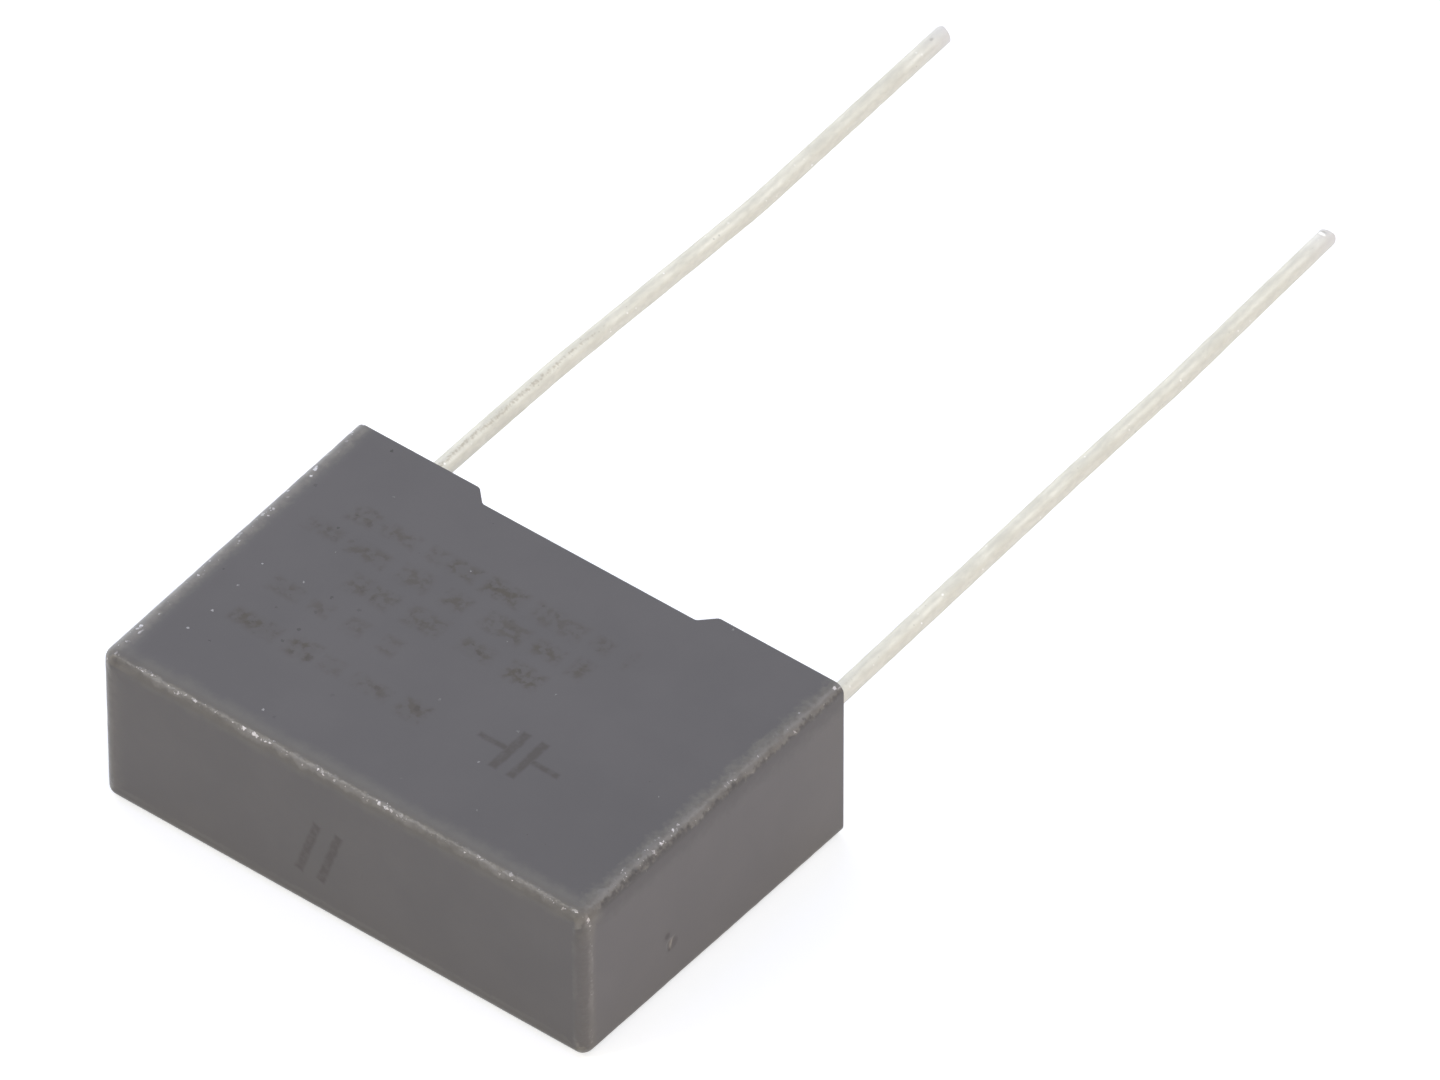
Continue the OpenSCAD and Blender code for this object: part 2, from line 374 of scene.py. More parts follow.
def makeCase():
    low = closedY + case["edgeRadius"]
    rows = wallProfile()
    points, endWay, sideWay, endRub, sideRub, onSide, paleSheen = [], [], [], [], [], [], []
    for inset, radius, share, step, way in rows:
        halfX, halfZ = halfLength - inset, halfThickness - inset
        outside = inset < case["wall"] / 2 or way < case["edgeRadius"]
        begun = min(max(way / rubAndLight["start"], 0), 1) if outside else 0.0
        for x, z, across, endShare in ringAt(halfX, halfZ, radius):
            onLongWall = abs(abs(z) - halfZ) < tiny
            rim = feetY - (reliefAt(x) if onLongWall else 0.0)
            y = low + share * (rim - low) + step
            shift = (feetY - y) * slope
            points.append((x * (1 - shift / halfX), y, z * (1 - shift / halfZ)))
            endWay.append(way)
            sideWay.append(across if outside and way >= 0 else far)
            endRub.append(way - rubAndLight["long"] - (rubAndLight["short"] - rubAndLight["long"]) * endShare)
            sideRub.append(across - rubAndLight["side"])
            onSide.append(begun)
            off = across - radius * rubAndLight["paleTurn"]
            paleSheen.append(paleSheenAt(x, z, off, way, begun, endShare) if outside else 0.0)
    count = len(points) // len(rows)
    faces = ringFaces(len(rows), count)
    faces.append(tuple(range(count)))
    last = (len(rows) - 1) * count
    faces.append(tuple(last + c for c in reversed(range(count))))
    points, endWay, sideWay = np.array(points), np.array(endWay), np.array(sideWay)
    knock(points, endWay, sideWay)
    piece = makeObject("case_shell", laid(points), faces, case["sharpAngle"])
    middle = case["edgeRadius"] * math.pi / 4
    near = np.minimum(np.abs(endWay - middle), np.abs(sideWay - middle))
    giveWeights(piece, "edgeNear", near / mm)
    giveWeights(piece, "endRub", np.array(endRub) / mm)
    giveWeights(piece, "sideRub", np.array(sideRub) / mm)
    giveWeights(piece, "onSide", onSide)
    # painted sheen along the upper left edges
    giveWeights(piece, "paleSheen", paleSheen)
    giveWeights(piece, "print", printOn(points))
    # the stub's pale tone, painted lighter as a highlight too
    giveWeights(piece, "stubSheen", [stubAt(y, z) if onRightEnd(x) else 0 for x, y, z in points])
    # dark spots, those beside the gate mark painted shade
    giveWeights(piece, "darkening", [darkeningAt(x, y, z) for x, y, z in points])
    joinDoubles(piece)
    return piece


caseShell = makeCase()
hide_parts("case")
print("case shell made with", len(caseShell.data.polygons), "faces")

# the two leads, with the bends and cut tips that they have in the frame
leads = {
    "pitch": 15.0 * mm,
    "diameter": 0.6 * mm,
    "freeLength": 26.0 * mm,
    "offset": 0.4 * mm,
    "rootY": -1.44 * mm,
    "bendRadius": 20.0 * mm,
    "tipAngle": math.radians(15),
    "tipSoftness": 0.03 * mm,
    "left": {
        "side": -1,
        "bends": [(0.283, 2.0), (0.637, -3.2)],  # share of the free length, and turn in degrees
        "ridge": math.radians(-100),
        "seamEnd": 13 * mm,
        # marks of the cutter: way from the tip, turn round the wire, height, length and width in radians
        "nicks": [(0.70 * mm, math.radians(85), -0.02 * mm, 0.1 * mm, 0.2)],
    },
    "right": {
        "side": 1,
        "bends": [(0.0, -0.95), (0.506, 0.65), (0.698, -1.6)],
        "ridge": math.radians(-35),
        "seamEnd": 6 * mm,
        "nicks": [
            (0.33 * mm, math.radians(92), 0.03 * mm, 0.06 * mm, 0.45),
            (0.20 * mm, math.radians(100), -0.03 * mm, 0.035 * mm, 0.45),
        ],
    },
    "step": 0.12 * mm,
    "tipSteps": [(0.6 * mm, 0.025 * mm), (0.2 * mm, 0.01 * mm)],  # finer stretches before the tip
    "sides": 40,
    "sharpAngle": 28,
    "unevenness": 0.008 * mm,  # of the tin coat
    "coatRound": 0.7,  # its waves round the wire and along it
    "coatLength": 0.5 * mm,
    "coatApart": 50,  # keeps the two coats unlike
    "greyReach": 0.8 * mm,  # how far the coat is greyer from the tip and from the case
    "seamTurn": math.radians(77),  # where a grey seam runs along the wire
    "seamWander": math.radians(20),
    "seamWave": 2 * mm,
    "seamFade": 0.03,  # how fast it thins out past its end
}


# centre line of a lead as (point, heading) from its root to its tip
def leadLine(lead):
    inside = feetY - leads["rootY"]
    place = np.array([lead["side"] * leads["pitch"] / 2, leads["rootY"], leads["offset"]])
    heading, done, line = 0.0, 0.0, []
    radius = leads["bendRadius"]

    def ahead():
        return np.array([math.sin(heading), math.cos(heading), 0.0])

    def straight(length, step):
        nonlocal place
        line.extend((place + ahead() * s, heading) for s in spread(0, length, step)[:-1])
        place = place + ahead() * length

    for share, turn in lead["bends"]:
        turn = math.radians(turn)
        arc = radius * abs(turn)
        run = inside + share * leads["freeLength"] - arc / 2 - done
        straight(run, leads["step"])
        steps = max(2, round(arc / leads["step"]))
        for i in range(steps):
            line.append((place, heading))
            heading += turn / steps / 2
            place = place + ahead() * (arc / steps)
            heading += turn / steps / 2
        done += run + arc
    tipLength = sum(length for length, step in leads["tipSteps"])
    straight(inside + leads["freeLength"] - done - tipLength, leads["step"])
    for length, step in leads["tipSteps"]:
        straight(length, step)
    line.append((place, heading))
    return line


# share of a cutter's mark near the tip
def nickAt(nick, left, turn):
    fromTip, middle, height, along, around = nick
    off = math.acos(math.cos(turn - middle))
    return math.exp(-(((left - fromTip) / along) ** 2) - (off / around) ** 2)


# noise of the tin coat at a turn round the wire
def coatAt(lead, turn, y):
    wide = leads["coatRound"]
    along = y / leads["coatLength"] + leads["coatApart"] * lead["side"]
    return noise.noise(Vector((math.cos(turn) * wide, math.sin(turn) * wide, along)))


def makeLead(name, lead):
    line = leadLine(lead)
    radius, sides = leads["diameter"] / 2, leads["sides"]
    rise = math.tan(leads["tipAngle"])
    soft = leads["tipSoftness"]
    points, seam, marked, grey = [], [], [], []
    tip = line[-1][0]
    for place, heading in line:
        y = place[1]
        across = np.array([math.cos(heading), -math.sin(heading), 0.0])
        ahead = np.array([math.sin(heading), math.cos(heading), 0.0])
        left = float(np.linalg.norm(tip - place))
        wave = noise.noise(Vector((0, 0, y / leads["seamWave"])))
        seamTurn = leads["seamTurn"] + leads["seamWander"] * wave
        seamGap = max(y - lead["seamEnd"], 0) * leads["seamFade"]
        for k in range(sides):
            a = 2 * math.pi * k / sides - lead["ridge"]
            out = across * math.cos(a) + np.array([0, 0, math.sin(a)])
            toCut = left - abs(math.sin(a + lead["ridge"])) * radius * rise
            nicks = [(nickAt(nick, left, a), nick[2]) for nick in lead["nicks"]]
            inward = min(max(soft - toCut, 0), soft)
            bulge = coatAt(lead, a, y) * leads["unevenness"] - soft + math.sqrt(soft**2 - inward**2)
            bulge += sum(share * height for share, height in nicks)
            points.append(place + out * (radius + bulge) + ahead * min(toCut, 0))
            marked.append(sum(math.copysign(share, height) for share, height in nicks))
            grey.append(math.exp(-min(left, abs(y - feetY)) / leads["greyReach"]))
            seam.append(math.acos(math.cos(a - seamTurn)) * radius + seamGap)
    faces = ringFaces(len(line), sides)
    last, half = (len(line) - 1) * sides, sides // 2
    faces.append(tuple(last + k for k in range(half + 1)))
    faces.append(tuple(last + k % sides for k in range(half, sides + 1)))
    faces.append(tuple(range(sides)))
    piece = makeObject(name, laid(points), faces, leads["sharpAngle"])
    giveWeights(piece, "seam", np.array(seam) / mm)
    giveWeights(piece, "nick", marked)
    giveWeights(piece, "grey", grey)
    joinDoubles(piece)
    return piece


leftLead = makeLead("left_wire", leads["left"])
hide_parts("left_lead")
rightLead = makeLead("right_wire", leads["right"])
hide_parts("right_lead")
print("leads made")


# short ways to write shader graphs
def startMaterial(name):
    material = bpy.data.materials.new(name)
    material.use_nodes = True
    return material, material.node_tree, material.node_tree.nodes["Principled BSDF"]


def add(tree, kind, values, output=0, **settings):
    made = tree.nodes.new("ShaderNode" + kind)
    for key, value in settings.items():
        setattr(made, key, value)
    for key, value in values.items():
        if isinstance(value, bpy.types.NodeSocket):
            tree.links.new(value, made.inputs[key])
        else:
            made.inputs[key].default_value = value
    return made.outputs[output]


def maths(tree, operation, first, *others):
    for other in others or (0.0,):
        first = add(tree, "Math", {0: first, 1: other}, operation=operation)
    return first


def times(tree, *factors):
    return maths(tree, "MULTIPLY", *factors)


def plus(tree, *terms):
    return maths(tree, "ADD", *terms)


def most(tree, *values):
    return maths(tree, "MAXIMUM", *values)


def absolute(tree, value):
    return maths(tree, "ABSOLUTE", value)


# a smooth change from low to high as a value goes from start to end
def fade(tree, value, start, end, low=0.0, high=1.0):
    values = {"Value": value, "From Min": start, "From Max": end, "To Min": low, "To Max": high}
    return add(tree, "MapRange", values, interpolation_type="SMOOTHSTEP")


# what two fades of one value leave between them
def band(tree, value, rise, fall):
    return times(tree, fade(tree, value, *rise), fade(tree, value, *fall))


def blend(tree, factor, first, second):
    return add(tree, "Mix", {0: factor, 6: first, 7: second}, output=2, data_type="RGBA")


# noise in waves to a millimetre, with its detail
def grains(tree, place, scale, detail):
    return add(tree, "TexNoise", {"Vector": place, "Scale": scale, "Detail": detail})


# the same noise about zero, with its reach
def sway(tree, place, scale, detail, reach):
    return times(tree, maths(tree, "SUBTRACT", grains(tree, place, scale, detail), 0.5), reach)


# a place moved about by noise
def shake(tree, place, scale, detail, reach):
    ragged = add(tree, "TexNoise", {"Vector": place, "Scale": scale, "Detail": detail}, output=1)
    wobble = add(tree, "VectorMath", {0: ragged, 1: (0.5, 0.5, 0.5)}, operation="SUBTRACT")
    return add(tree, "VectorMath", {0: wobble, 1: (reach, reach, reach), 2: place}, operation="MULTIPLY_ADD")


# round spots scattered at random, of random strength:
# cells to a millimetre, the share of the cells that hold one, and the sizes of the spots in a cell;
# flat ones go straight down through the thickness of the case
def scattered(tree, place, cells, share, smallest, largest, faintest=1.0, flat=False):
    spots = tree.nodes.new("ShaderNodeTexVoronoi")
    spots.voronoi_dimensions = "2D" if flat else "3D"
    spots.inputs["Scale"].default_value = cells
    tree.links.new(place, spots.inputs["Vector"])
    chosen = tree.nodes.new("ShaderNodeSeparateColor")
    tree.links.new(spots.outputs["Color"], chosen.inputs[0])
    size = fade(tree, chosen.outputs[1], 0.0, 1.0, smallest, largest)
    close = maths(tree, "LESS_THAN", spots.outputs["Distance"], size)
    kept = maths(tree, "LESS_THAN", chosen.outputs[0], share)
    return times(tree, close, kept, fade(tree, chosen.outputs[2], 0.0, 1.0, faintest, 1.0))


def weights(tree, name):
    return add(tree, "Attribute", {}, output=2, attribute_name=name)


# object coordinates in millimetres, stretched along each axis if need be
def millimetres(tree, stretch=(1, 1, 1)):
    coordinates = tree.nodes.new("ShaderNodeTexCoord").outputs["Object"]
    scale = tuple(s / mm for s in stretch)
    return add(tree, "Mapping", {"Vector": coordinates, "Scale": scale})


# 1 for a ray that shows the background: the camera's own, or one that a surface reflects or lets through
def showsBackground(tree):
    path = tree.nodes.new("ShaderNodeLightPath")
    return most(tree, *(path.outputs["Is " + kind + " Ray"] for kind in ("Camera", "Glossy", "Transmission")))


def dress(piece, material):
    piece.data.materials.clear()
    piece.data.materials.append(material)


# the moulded plastic; noises are waves to a millimetre and detail, fades are start and end, and the two
# values between them; spots are cells to a millimetre, share, smallest, largest and faintest
plastic = {
    "dark": (0.104, 0.101, 0.1005, 1),
    "light": (0.118, 0.114, 0.1125, 1),
    # a darker tone: painted shade under the upper long edges' lines and beside the gate mark, a dark spot
    # under the closed end's corner, and the top darker towards its near corner
    "darkening": (0.075, 0.072, 0.07, 1),
    "darkeningCover": 0.8,
    "speck": (0.058, 0.05, 0.045, 1),
    "specks": (1.3, 0.25, 0.02, 0.06),
    "speckCover": 0.5,
    "peck": (0.85, 0.84, 0.82, 1),  # small bright nicks on the top
    "pecks": (0.8, 0.2, 0.012, 0.034, 0.4),
    "pecksAlong": (0.0, -4.0, 0.2, 0.6),
    "stub": (0.48, 0.46, 0.40, 1),  # the torn stub in the gate mark, pale, and painted lighter as a highlight too
    "stubCover": 0.6,
    "mottle": (0.45, 3.0),
    "mottleFade": (0.3, 0.7),
    "mottleShare": 0.6,
    "grain": (15.0, 2.0),
    "grainShare": 0.4,
    "grainDepth": 0.003 * mm,
    "grainStrength": 0.6,
    "nearCornerDarkening": (2.0, 13.0, 0.0, 0.3),  # the top darkens towards its near corner
    "shaken": (3.0, 2.0, 0.1),  # noise and reach that shake the edges of marks and spots
    "torn": (16.0, 2.0, 0.14),
    "topFrom": 5.5,  # where the top, the closed end and the right end begin, in millimetres
    "closedFrom": -5.8,
    "rightFrom": 8.6,
    "gloss": (0.30, 0.05),  # off the middle of an edge
    "roughness": (0.5, 0.32),  # of the faces and of the edges
    "darkeningRoughness": (0.1, 0.7, 0.0, 0.7),
    "knocks": (5.0, 4.0, 1.0),
    "knockDepth": 0.03 * mm,
    "knockStrength": 1.0,
}


# where a point of the case lies, plain and shaken, and on which face
def casePlaces(tree):
    place = millimetres(tree)
    shaken = shake(tree, place, *plastic["shaken"])
    parts = tree.nodes.new("ShaderNodeSeparateXYZ")
    tree.links.new(shaken, parts.inputs[0])
    x, y, z = parts.outputs
    return SimpleNamespace(
        place=place,
        shaken=shaken,
        torn=shake(tree, place, *plastic["torn"]),
        x=x,
        y=y,
        z=z,
        onTop=maths(tree, "GREATER_THAN", z, plastic["topFrom"]),
        onClosed=maths(tree, "LESS_THAN", y, plastic["closedFrom"]),
        onRight=maths(tree, "GREATER_THAN", x, plastic["rightFrom"]),
    )


def bareTone(tree, at, grain):
    mottle = fade(tree, grains(tree, at.place, *plastic["mottle"]), *plastic["mottleFade"])
    mixed = plus(tree, times(tree, mottle, plastic["mottleShare"]), times(tree, grain, plastic["grainShare"]))
    tone = blend(tree, mixed, plastic["dark"], plastic["light"])
    nearCornerDarkening = fade(tree, maths(tree, "SUBTRACT", at.x, at.y), *plastic["nearCornerDarkening"])
    return blend(tree, times(tree, nearCornerDarkening, at.onTop), tone, plastic["darkening"])


# the print: faint bars and a plain capacitor sign on the top, and two plain strokes on the closed end,
# with the centre, half sizes and turn of each bar of a sign in millimetres
printed = {
    "ink": (0.070, 0.061, 0.048, 1),
    "inkCover": 0.85,
    "smudge": (3.2, 4.0),
    "smudgeFade": (0.42, 0.62, 0.2, 1.15),
    "sign": (0.058, 0.05, 0.045, 1),
    "signCover": 0.8,
    "flakes": (3.5, 0.5, 0.12, 0.45, 0.3),
    "pit": (0.04, 0.038, 0.034, 1),
    "pits": (1.2, 0.2, 0.025, 0.075, 0.4),
    "pitsAlong": (-1.0, -4.0),
    "worn": (4.0, 4.0),
    "wornFade": (0.28, 0.6, 0.45, 1.0),
    "barEdge": (0.07, -0.07),
    "topBars": [
        ((3.02, -2.0, 0), (0.15, 0.85), 0.0),
        ((3.68, -2.0, 0), (0.15, 0.85), 0.0),
        ((2.40, -2.0, 0), (0.50, 0.10), 0.0),
        ((4.30, -2.0, 0), (0.50, 0.10), 0.0),
    ],
    "closedBars": [((-1.25, 2.5, 0), (0.14, 1.15), -0.32), ((-0.45, 2.5, 0), (0.14, 1.15), -0.32)],
}


# a bar's cover on a flat place
def barCover(tree, place, centre, half, turn):
    values = {"Vector": place, "Location": centre, "Rotation": (0, 0, turn)}
    parts = tree.nodes.new("ShaderNodeSeparateXYZ")
    tree.links.new(add(tree, "Mapping", values, vector_type="TEXTURE"), parts.inputs[0])
    sides = [maths(tree, "SUBTRACT", absolute(tree, parts.outputs[i]), half[i]) for i in (0, 1)]
    return fade(tree, most(tree, *sides), *printed["barEdge"])


def printedTone(tree, at, tone):
    smudge = fade(tree, grains(tree, at.place, *printed["smudge"]), *printed["smudgeFade"])
    inked = times(tree, weights(tree, "print"), smudge)
    tone = blend(tree, times(tree, inked, printed["inkCover"]), tone, printed["ink"])
    flakes = scattered(tree, at.torn, *printed["flakes"], flat=True)
    tone = blend(tree, times(tree, flakes, inked, printed["signCover"]), tone, printed["sign"])
    pits = scattered(tree, at.torn, *printed["pits"], flat=True)
    pits = times(tree, pits, fade(tree, at.x, *printed["pitsAlong"]), at.onTop)
    tone = blend(tree, times(tree, pits, printed["signCover"]), tone, printed["pit"])
    upright = add(tree, "CombineXYZ", {0: at.x, 1: at.z})
    covers = [times(tree, barCover(tree, at.shaken, *bar), at.onTop) for bar in printed["topBars"]]
    covers += [times(tree, barCover(tree, upright, *bar), at.onClosed) for bar in printed["closedBars"]]
    worn = fade(tree, grains(tree, at.place, *printed["worn"]), *printed["wornFade"])
    return blend(tree, times(tree, most(tree, *covers), worn, printed["signCover"]), tone, printed["sign"])


# the rubbed edges and the light and shade painted along them, in millimetres off the rubbed lines; pairs are
# for the upright edges and for the top
wearAndLight = {
    # the line is worn and painted lighter as a highlight too, the halo partly worn and partly painted light,
    # the pale sheen painted light, the glints painted highlights
    "line": (0.225, 0.222, 0.208, 1),
    "lineCover": 0.9,
    "halo": (0.162, 0.157, 0.138, 1),
    "paleSheen": (0.48, 0.46, 0.40, 1),
    "glint": (0.85, 0.84, 0.82, 1),
    "rise": (4.2, 5.3),  # heights between the upright edges and the top
    "wander": (1.8, 4.0, 0.5),  # noise and reach of the lines' wandering and of their ragged sides
    "rags": (6.0, 3.0, 0.5),
    "endWander": (0.25, 1.0),  # shares of both round the closed end
    "endRags": 0.3,
    "patch": (1.1, 2.0),
    "patchFade": (0.32, 0.62, 0.25, 1.0),
    "begun": (-8.0, -7.4),  # where the line along the closed end sets in
    "endInner": (-1.0, -0.4),  # how steep the line's inner side is against its outer side
    "endWidth": (0.14, 0.09),
    "endCore": 0.03,
    "endStrength": (0.6, 1.0),
    "sideLine": (0.2, 0.05),
    "sideStrength": 0.75,
    "otherApart": 0.5,  # a second, fainter line down the other side of the upright edges, a painted highlight
    "otherLine": (0.12, 0.03),
    "otherStrength": (0.22, 0.0),
    # the halos: lighter bands beside the lines, partly worn and partly painted light
    "endHalo": ((-0.65, -0.1), (0.3, 0.1)),
    "endHaloStrength": (0.3, 0.7),
    "topHalo": ((0.75, 0.15, 0.0, 0.9), (-0.1, 0.1)),
    "topHaloRise": (5.0, 5.5),
    "haloBegun": (0.6, 1.0),
    "sideHalo": ((-0.52, -0.15), (0.3, 0.05)),
    "sideHaloAlong": (-1.0, 1.0, 0.8, 1.0),
    "sideHaloRags": (5.0, 4.0),
    "sideHaloFade": (0.3, 0.7, 0.6, 1.3),
    # painted shade under the lines of the two upper long edges
    "edgeShade": ((0.06, 0.22, 0.0, 0.7), (1.2, 0.45)),
    "edgeShadeRise": (3.5, 4.5),
    "paleRags": (2.5, 5.0),
    "paleFade": (0.36, 0.64, 0.6, 1.05),
    "rightPaintedLight": (1.5, 6.0, 0.0, 0.25),  # painted light: the right end is painted paler towards the rim
    "crowd": (0.9, 2.0),  # how the painted glints crowd together, along the edges and less on the pale bands
    "crowdAlong": (-2.0, -5.0, 0.0, 0.03),
    "crowdFade": (0.42, 0.58, 0.06, 0.8),
    "crowdOnPale": (0.1, 0.3, 1.0, 0.45),
    "ridge": (0.09, 0.03),
    "sideGlints": (-5.0, -3.4, 0.1, 0.37),  # fewer towards the closed end
    "paleGlints": 1.1,
    "glintFrom": (0.15, 0.3),
    "glintRise": (4.6, 5.3, 0.12, 1.0),
    "glintCells": 8.0,
    "glintSizes": (0.14, 0.55, 0.25),
}


# light lines that wander along the rounding, worn and painted lighter as highlights too; halos beside them,
# partly worn and partly painted light; painted shade under the upper long edges' lines; pale bands of painted
# sheen; and painted glints
def edgeWearAndLight(tree, at):
    rise = fade(tree, at.z, *wearAndLight["rise"])

    def rising(pair):
        return fade(tree, rise, 0.0, 1.0, *pair)

    wander = sway(tree, at.place, *wearAndLight["wander"])
    rags = sway(tree, at.place, *wearAndLight["rags"])
    endOff = plus(tree, weights(tree, "endRub"), times(tree, wander, rising(wearAndLight["endWander"])))
    endOff = plus(tree, endOff, times(tree, rags, wearAndLight["endRags"]))
    sideOff = plus(tree, weights(tree, "sideRub"), wander, rags)
    onSide = weights(tree, "onSide")
    patch = fade(tree, grains(tree, at.place, *wearAndLight["patch"]), *wearAndLight["patchFade"])
    begun = fade(tree, at.x, *wearAndLight["begun"])
    endPatch = times(tree, patch, begun)

    # the lines, worn and painted lighter as highlights too
    endSpan = most(tree, endOff, times(tree, endOff, rising(wearAndLight["endInner"])))
    endLine = fade(tree, endSpan, rising(wearAndLight["endWidth"]), wearAndLight["endCore"])
    endLine = times(tree, endLine, endPatch, rising(wearAndLight["endStrength"]))
    sideLine = times(tree, fade(tree, absolute(tree, sideOff), *wearAndLight["sideLine"]), patch, onSide)
    otherLine = fade(tree, absolute(tree, plus(tree, endOff, wearAndLight["otherApart"])), *wearAndLight["otherLine"])
    otherLine = times(tree, otherLine, patch, rising(wearAndLight["otherStrength"]))
    line = most(tree, endLine, otherLine, times(tree, sideLine, wearAndLight["sideStrength"]))

    # halos beside the lines, partly worn and partly painted light
    endHalo = times(tree, band(tree, endOff, *wearAndLight["endHalo"]), rising(wearAndLight["endHaloStrength"]))
    topHalo = times(tree, band(tree, endOff, *wearAndLight["topHalo"]), fade(tree, at.z, *wearAndLight["topHaloRise"]))
    endHalo = times(tree, most(tree, endHalo, topHalo), fade(tree, begun, 0.0, 1.0, *wearAndLight["haloBegun"]))
    torn = fade(tree, grains(tree, at.place, *wearAndLight["sideHaloRags"]), *wearAndLight["sideHaloFade"])
    sideHalo = times(tree, band(tree, sideOff, *wearAndLight["sideHalo"]), fade(tree, at.x, *wearAndLight["sideHaloAlong"]))
    halo = most(tree, endHalo, times(tree, sideHalo, onSide, torn))
    # painted shade under the upper long edges' lines
    edgeShade = times(tree, band(tree, sideOff, *wearAndLight["edgeShade"]), onSide, fade(tree, at.z, *wearAndLight["edgeShadeRise"]))
    # pale bands of painted sheen
    worn = fade(tree, grains(tree, at.place, *wearAndLight["paleRags"]), *wearAndLight["paleFade"])
    paleSheen = times(tree, weights(tree, "paleSheen"), worn)

    crowd = plus(tree, grains(tree, at.place, *wearAndLight["crowd"]), fade(tree, at.x, *wearAndLight["crowdAlong"]))
    fewer = fade(tree, weights(tree, "paleSheen"), *wearAndLight["crowdOnPale"])
    crowd = times(tree, fade(tree, crowd, *wearAndLight["crowdFade"]), fewer)
    ridge = times(tree, fade(tree, absolute(tree, endOff), *wearAndLight["ridge"]), endPatch)
    sideGlints = times(tree, sideLine, fade(tree, at.y, *wearAndLight["sideGlints"]))
    glinting = most(tree, ridge, sideGlints, times(tree, paleSheen, wearAndLight["paleGlints"]))
    glinting = times(tree, fade(tree, glinting, *wearAndLight["glintFrom"]), fade(tree, at.z, *wearAndLight["glintRise"]))
    # painted glints along the edges
    glint = times(tree, scattered(tree, at.torn, wearAndLight["glintCells"], crowd, *wearAndLight["glintSizes"]), glinting)
    return SimpleNamespace(line=line, halo=halo, edgeShade=edgeShade, paleSheen=paleSheen, glint=glint)


def plasticMaterial():
    material, tree, shader = startMaterial("moulded plastic")
    at = casePlaces(tree)
    grain = grains(tree, at.place, *plastic["grain"])
    tone = printedTone(tree, at, bareTone(tree, at, grain))
    wornAndLitEdges = edgeWearAndLight(tree, at)
    # painted light: the right end lighter towards the rim
    paintedRightLight = times(tree, fade(tree, at.y, *wearAndLight["rightPaintedLight"]), at.onRight)
    darkening = weights(tree, "darkening")
    pecks = scattered(tree, at.torn, *plastic["pecks"], flat=True)
    pecks = times(tree, pecks, fade(tree, at.x, *plastic["pecksAlong"]), at.onTop)
    specks = scattered(tree, at.shaken, *plastic["specks"])
    layers = [
        (paintedRightLight, wearAndLight["halo"]),
        (wornAndLitEdges.edgeShade, plastic["darkening"]),
        (wornAndLitEdges.halo, wearAndLight["halo"]),
        (wornAndLitEdges.paleSheen, wearAndLight["paleSheen"]),
        (times(tree, wornAndLitEdges.line, wearAndLight["lineCover"]), wearAndLight["line"]),
        (times(tree, darkening, plastic["darkeningCover"]), plastic["darkening"]),
        (times(tree, weights(tree, "stubSheen"), plastic["stubCover"]), plastic["stub"]),
        (pecks, plastic["peck"]),
        (times(tree, specks, plastic["speckCover"]), plastic["speck"]),
        (wornAndLitEdges.glint, wearAndLight["glint"]),
    ]
    for cover, colour in layers:
        tone = blend(tree, cover, tone, colour)
    tree.links.new(tone, shader.inputs["Base Color"])
    gloss = fade(tree, weights(tree, "edgeNear"), *plastic["gloss"])
    rough = fade(tree, gloss, 0.0, 1.0, *plastic["roughness"])
    rough = most(tree, rough, fade(tree, darkening, *plastic["darkeningRoughness"]))
    tree.links.new(rough, shader.inputs["Roughness"])
    knocks = times(tree, sway(tree, at.place, *plastic["knocks"]), gloss)
    values = {"Height": knocks, "Distance": plastic["knockDepth"], "Strength": plastic["knockStrength"]}
    uneven = add(tree, "Bump", values)
    values = {"Height": grain, "Distance": plastic["grainDepth"], "Strength": plastic["grainStrength"]}
    tree.links.new(add(tree, "Bump", values | {"Normal": uneven}), shader.inputs["Normal"])
    return material


tinned = {
    "bright": (0.70, 0.687, 0.602, 1),
    "dull": (0.655, 0.645, 0.568, 1),
    # a stain tone, also painted shade in the sunk cutter's marks
    "stainAndShade": (0.34, 0.325, 0.29, 1),
    "seam": (0.42, 0.375, 0.29, 1),
    "grey": (0.69, 0.685, 0.69, 1),
    "greyCover": 0.8,
    # painted highlight: the tone of the bright glints and of the cutter's raised marks
    "glintTone": (0.97, 0.965, 0.93, 1),
    "drawn": (9, 3.2, 9),  # short streaks along the wire, in waves to a millimetre along each axis,
    "blotch": (2.2, 0.9, 2.2),  # and larger patches
    "detail": 4.0,
    "drawnFade": (0.36, 0.62),
    "blotchFade": (0.52, 0.72, 0.0, 0.7),
    # tiny bright glints painted on the tin
    "glintFlecks": (5.0, 0.45, 0.07, 0.2, 0.3),
    "flecksFade": (0.54, 0.42),
    "seamRags": (14.0, 2.0, 0.2),
    "seamFade": (0.1, 0.01),
    "seamBreaks": (7.0, 3.0),
    "seamBreaksFade": (0.38, 0.62, 0.6, 0.08),
    "specks": (4.5, 0.2, 0.06, 0.15, 0.3),
    "speckCover": 0.5,
    "raisedHighlight": (0.3, 0.6),  # the cutter's marks that stand up, with a painted highlight, and those that are sunk, with painted shade
    "sunk": (-0.3, -0.8, 0.0, 0.45),
    "roughness": (0.3, 0.7, 0.48, 0.64),
    "metallic": 0.6,
    "drawnDepth": 0.006 * mm,
    "blotchDepth": 0.02 * mm,
    "bumpStrength": 0.7,
}


